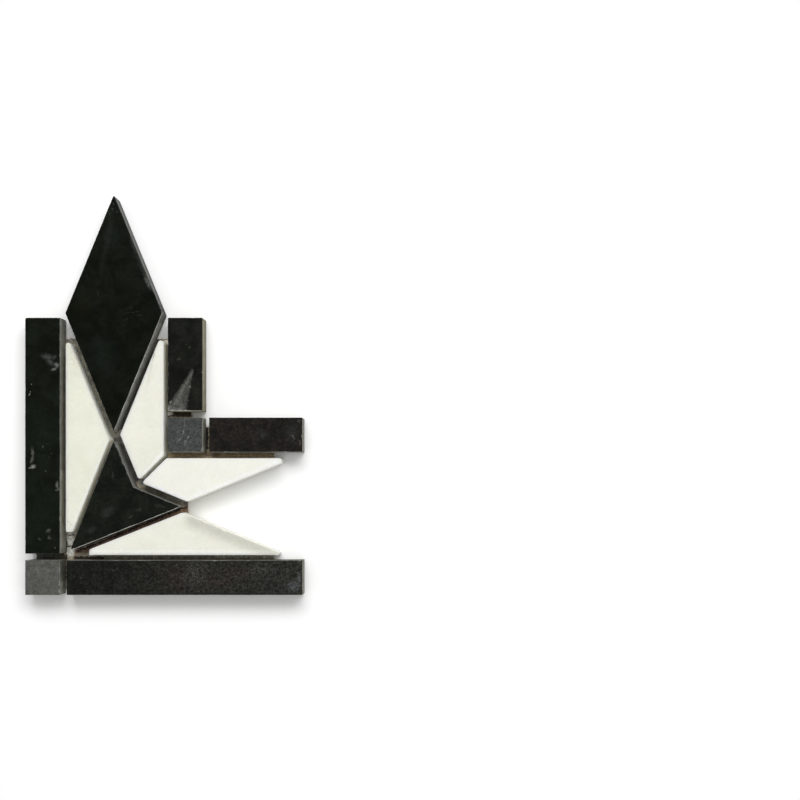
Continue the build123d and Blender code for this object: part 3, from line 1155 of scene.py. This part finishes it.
def strand(rng, axis, number, start, end):
    """Points of one strand along an axis, ring by ring and then at its two ends: a flattened oval that
    goes up and down in a wave, by turns with the strands beside it, and sways a little."""
    start = start - rng.uniform(0, FRAY)
    end = end + rng.uniform(0, FRAY)
    along = np.linspace(start, end, max(int((end - start) / STRAND_STEP), 2))
    cell = (along - FIRST_CROSSING[axis]) / STRAND_PITCH
    middle = STRAND_HALF_THICKNESS + WEAVE * (1 + np.cos(np.pi * (cell + number + axis)))
    swelling = SWELLING * np.cos(rng.uniform(0, 6) + along / SWELLING_LENGTH)
    width = STRAND_HALF_WIDTH * (1 - SWELLING + swelling)
    sway = SWAY * np.sin(rng.uniform(0, 6) + along / SWAY_LENGTH)
    line = FIRST_CROSSING[1 - axis] + number * STRAND_PITCH

    around = np.linspace(0, 2 * np.pi, STRAND_SIDES, endpoint=False)
    across = line + sway[:, None] + width[:, None] * np.cos(around)
    height = middle[:, None] + STRAND_HALF_THICKNESS * np.sin(around)
    ahead = np.broadcast_to(along[:, None], across.shape)
    rings = np.stack([ahead, across, height] if axis == 0 else [across, ahead, height], axis=-1)
    ends = [rings[0].mean(axis=0), rings[-1].mean(axis=0)]
    return np.vstack([rings.reshape(-1, 3), ends])


def strand_mesh(outline):
    """The woven strands: they run straight both ways, a pitch apart and cut off at the outline, and
    each passes over and under the ones that it crosses."""
    rng = np.random.default_rng(STRAND_SEED)
    points, faces, runs, total = [], [], [], 0
    for axis in (0, 1):
        for number in range(STRANDS):
            line = FIRST_CROSSING[1 - axis] + number * STRAND_PITCH
            for start, end in crossings(outline, axis, line):
                made = strand(rng, axis, number, start, end)
                order = 1 if axis == 0 else -1  # keeps the faces' normals outwards
                rings = (len(made) - 2) // STRAND_SIDES  # without its two ends
                for face in closed_rings(rings, STRAND_SIDES):
                    faces.append([corner + total for corner in face[::order]])
                points.append(made)
                runs.append(np.full(len(made), float(axis)))
                total += len(made)
    shares = {"lengthways": np.concatenate(runs)}
    return new_piece("woven_strands", np.vstack(points), faces, shares)


# Adhesive in the joints as the photograph shows it, its colours partly its own and partly painted light
# and painted
# shade of the deep joints: a colour, and the ends and half width in millimetres of the bands that it
# fills
ADHESIVE_AND_PAINTED_LIGHT = [
    ((160, 156, 140), [((72, 330), (114, 431), 2.6)]),
    (
        (238, 235, 220),
        [
            ((110, 444), (72, 533), 2.6),
            ((146, 482), (164, 462), 2.4),
            ((166, 340), (166, 408), 1.6),
            ((166, 418), (166, 452), 1.6),
        ],
    ),
    ((70, 67, 58), [((165, 318), (122, 430), 1.6)]),
    ((150, 146, 134), [((112, 434), (124, 434), 2.2)]),
    ((84, 82, 76), [((119, 437), (139, 480), 2.0)]),
    ((96, 95, 90), [((113, 440), (119, 440), 1.2)]),
    ((140, 140, 134), [((140, 482), (146, 483), 1.6)]),
    ((124, 121, 112), [((146, 486), (190, 503), 2.4)]),
    ((150, 148, 140), [((148, 483), (190, 500), 0.5)]),
    ((150, 120, 98), [((74, 555), (255, 481), 1.9)]),
    ((132, 106, 84), [((72, 551), (90, 551), 1.8)]),
    ((60, 46, 38), [((76, 552), (255, 479), 0.5)]),
    ((186, 164, 130), [((168, 455), (280, 455), 1.6)]),
    ((130, 112, 88), [((205, 454), (219, 454), 1.8)]),
    ((162, 156, 140), [((76, 556), (302, 556), 1.6)]),
    ((196, 190, 170), [((215, 556), (302, 556), 1.4)]),
    ((74, 58, 46), [((74, 558), (104, 558), 1.0), ((60, 553), (66, 560), 1.6)]),
    ((82, 84, 74), [((30, 556), (62, 557), 2.0)]),
    ((70, 58, 42), [((164, 414), (196, 414), 1.6)]),
    ((206, 203, 192), [((167, 413.5), (173, 413.5), 0.9)]),
    ((30, 27, 23), [((206, 419), (206, 450), 1.5)]),
    ((58, 55, 48), [((64, 561), (64, 586), 1.6)]),
    ((170, 166, 152), [((66, 581), (66, 593), 1.3)]),
    ((206, 206, 198), [((71, 528), (71, 556), 1.9)]),
    (
        (60, 58, 52),
        [
            ((66, 535), (75, 535), 0.35),
            ((66, 546), (76, 546), 0.35),
            ((66.5, 538), (66.5, 560), 0.5),
        ],
    ),
    ((150, 147, 136), [((66, 340), (76, 340), 1.6)]),
]
JOINT_DEPTH = 10 * MM  # from the faces of the stones down to the adhesive
ADHESIVE_TINTS = (srgb(184, 176, 154), srgb(160, 148, 124))
YARN_TINT = srgb(214, 212, 200)
COAT_TINT = srgb(168, 160, 138)

# Kinds of noise, as in Tree.pattern
BLOTCHES = (260, 4, 0.6, 0.3, 0.7)
MOTTLE = (900, 4, 0.7, 0.33, 0.68)
COAT = (330, 4, 0.65, 0.45, 0.58)
ADHESIVE_GRIT = (2200, 4, 0.7)  # scale, detail and roughness
FIBRES = (1, 3, 0.6)
FIBRE_LONG = 0.006
FIBRE_WIDE = 0.00012
FIBRE_DEEP = 0.001
ADHESIVE_BUMP = 0.08 * MM
YARN_BUMP = 0.06 * MM


def adhesive():
    """Adhesive that has set through and round the strands of the mesh, its colour by place partly its
    own grey, olive or brown and partly painted light and painted shade of the joints, and lighter over
    the strands."""
    material, tree = new_material("adhesive")
    underneath = tree.mix(tree.pattern(tree.own(), BLOTCHES), *ADHESIVE_TINTS)
    colour = underneath
    # Bands in the joints: adhesive colour, painted light and painted shade
    for shade, bands in ADHESIVE_AND_PAINTED_LIGHT:
        mask = tree.highest(tree.band(start, end, half, below=JOINT_DEPTH) for start, end, half in bands)
        colour = tree.mix(mask, colour, srgb(*shade))
    level = tree.coordinate(tree.own(), "Z")
    above = tree.ramp(level, SKIN_BOTTOM + 0.15 * MM, SKIN_TOP - 0.05 * MM)
    colour = tree.mix(above, underneath, colour)
    colour = tree.tint(colour, tree.pattern(tree.own(), MOTTLE, 0.7, 1.25))
    waves = []
    for axis in ("X", "Y"):
        along = tree.coordinate(tree.place(centre=(*FIRST_CROSSING, 0)), axis)
        waves.append(tree.maths("COSINE", tree.times(along, 2 * np.pi / STRAND_PITCH)))
    colour = tree.tint(colour, tree.ramp(tree.highest(waves), 0.0, 1.0, 0.85, 1.2))
    grit = tree.noise(tree.own(), *ADHESIVE_GRIT)
    normal = tree.bump(grit, ADHESIVE_BUMP)
    tree.principled({"Base Color": colour, "Roughness": 0.6, "Normal": normal})
    return material


def yarn():
    """Flat glass yarn: fine fibres along the strand, and here and there adhesive that came through."""
    material, tree = new_material("yarn")
    along_y = tree.attribute("lengthways")
    along_x = tree.maths("SUBTRACT", 1.0, along_y)
    fibres_x = tree.noise(tree.place(size=(FIBRE_LONG, FIBRE_WIDE, FIBRE_DEEP)), *FIBRES)
    fibres_y = tree.noise(tree.place(size=(FIBRE_WIDE, FIBRE_LONG, FIBRE_DEEP)), *FIBRES)
    fibres = tree.maths("ADD", tree.times(fibres_x, along_x), tree.times(fibres_y, along_y))
    colour = tree.tint(YARN_TINT, tree.ramp(fibres, 0.3, 0.7, 0.72, 1.1))
    colour = tree.mix(tree.pattern(tree.own(), COAT), colour, COAT_TINT)
    normal = tree.bump(fibres, YARN_BUMP)
    tree.principled({"Base Color": colour, "Roughness": 0.55, "Normal": normal})
    return material


trimmed = top_outline("mesh_backing")
for piece, material in ((skin_mesh(trimmed, footprints), adhesive()), (strand_mesh(trimmed), yarn())):
    piece.data.materials.append(material)
    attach(piece, "root")
    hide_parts("mesh_backing")


# Floor and light

FLOOR_REACH = 4.0
FLOOR_LIGHT = 0.8  # the share of the light that it gives back to the stones
FLOOR_SEEN = 1.055  # the share that the camera and gloss see
FLOOR_FADE = (0.12, 0.2)  # from the middle of the tile
SKY_LIGHT = 0.54
CEILING_LIGHT = 0.03
CEILING_EDGE = (0.8, 0.9)  # how steeply up a direction is, as the sine of its angle
LAMP_PLACE = (0.22, 0.64, 0.984)
LAMP_SIZE = (1.1, 0.55)
LAMP_POWER = 10.2


def make_floor():
    """A matt white floor. What the camera and gloss see of it is a little lighter than it is, so that
    it is plain white where no shadow falls, and away from the tile it goes over into white."""
    data = bpy.data.meshes.new("floor")
    corners = [(-1, -1), (1, -1), (1, 1), (-1, 1)]
    points = [(x * FLOOR_REACH, y * FLOOR_REACH, 0) for x, y in corners]
    data.from_pydata(points, [], [(0, 1, 2, 3)])
    floor = new_object("floor", data)
    material, tree = new_material("floor")
    seen = tree.highest(tree.ray(kind) for kind in ("Camera", "Glossy", "Transmission"))
    lit, shown = (
        tree.add("ShaderNodeBsdfDiffuse", {"Color": (tone, tone, tone, 1)})
        for tone in (FLOOR_LIGHT, FLOOR_SEEN)
    )
    white = tree.add("ShaderNodeEmission", {"Color": (1, 1, 1, 1), "Strength": 1.0})
    away = tree.ramp(tree.length(tree.own()), *FLOOR_FADE)
    fading = tree.add("ShaderNodeMixShader", {0: away, 1: shown, 2: white})
    both = tree.add("ShaderNodeMixShader", {0: seen, 1: lit, 2: fading})
    tree.add("ShaderNodeOutputMaterial", {"Surface": both})
    data.materials.append(material)


def make_lamp():
    """A soft oblong lamp, turned towards the middle of the tile."""
    lamp = bpy.data.lights.new("window", "AREA")
    lamp.shape = "RECTANGLE"
    lamp.size, lamp.size_y = LAMP_SIZE
    lamp.energy = LAMP_POWER
    made = new_object("window", lamp)
    made.location = LAMP_PLACE
    made.rotation_euler = (-Vector(LAMP_PLACE)).to_track_quat("-Z", "Y").to_euler()


def make_sky():
    """An even soft sky. Gloss sees a dark ceiling straight above, where the camera hangs and what
    polished black stone mirrors, and the camera sees plain white."""
    world = bpy.data.worlds.new("studio")
    bpy.context.scene.world = world
    world.use_nodes = True
    tree = Tree(world.node_tree)
    up = tree.coordinate(tree.add("ShaderNodeTexCoord", output="Generated"), "Z")
    mirrored = tree.times(tree.ramp(up, *CEILING_EDGE), tree.ray("Glossy"))
    strength = tree.ramp(mirrored, 0.0, 1.0, SKY_LIGHT, CEILING_LIGHT)
    soft = tree.add("ShaderNodeBackground", {"Color": (1, 1, 1, 1), "Strength": strength})
    white = tree.add("ShaderNodeBackground", {"Color": (1, 1, 1, 1), "Strength": 1.0})
    both = tree.add("ShaderNodeMixShader", {0: tree.ray("Camera"), 1: soft, 2: white})
    tree.add("ShaderNodeOutputWorld", {"Surface": both})


make_floor()
make_lamp()
make_sky()

bpy.context.scene.view_settings.view_transform = "Standard"
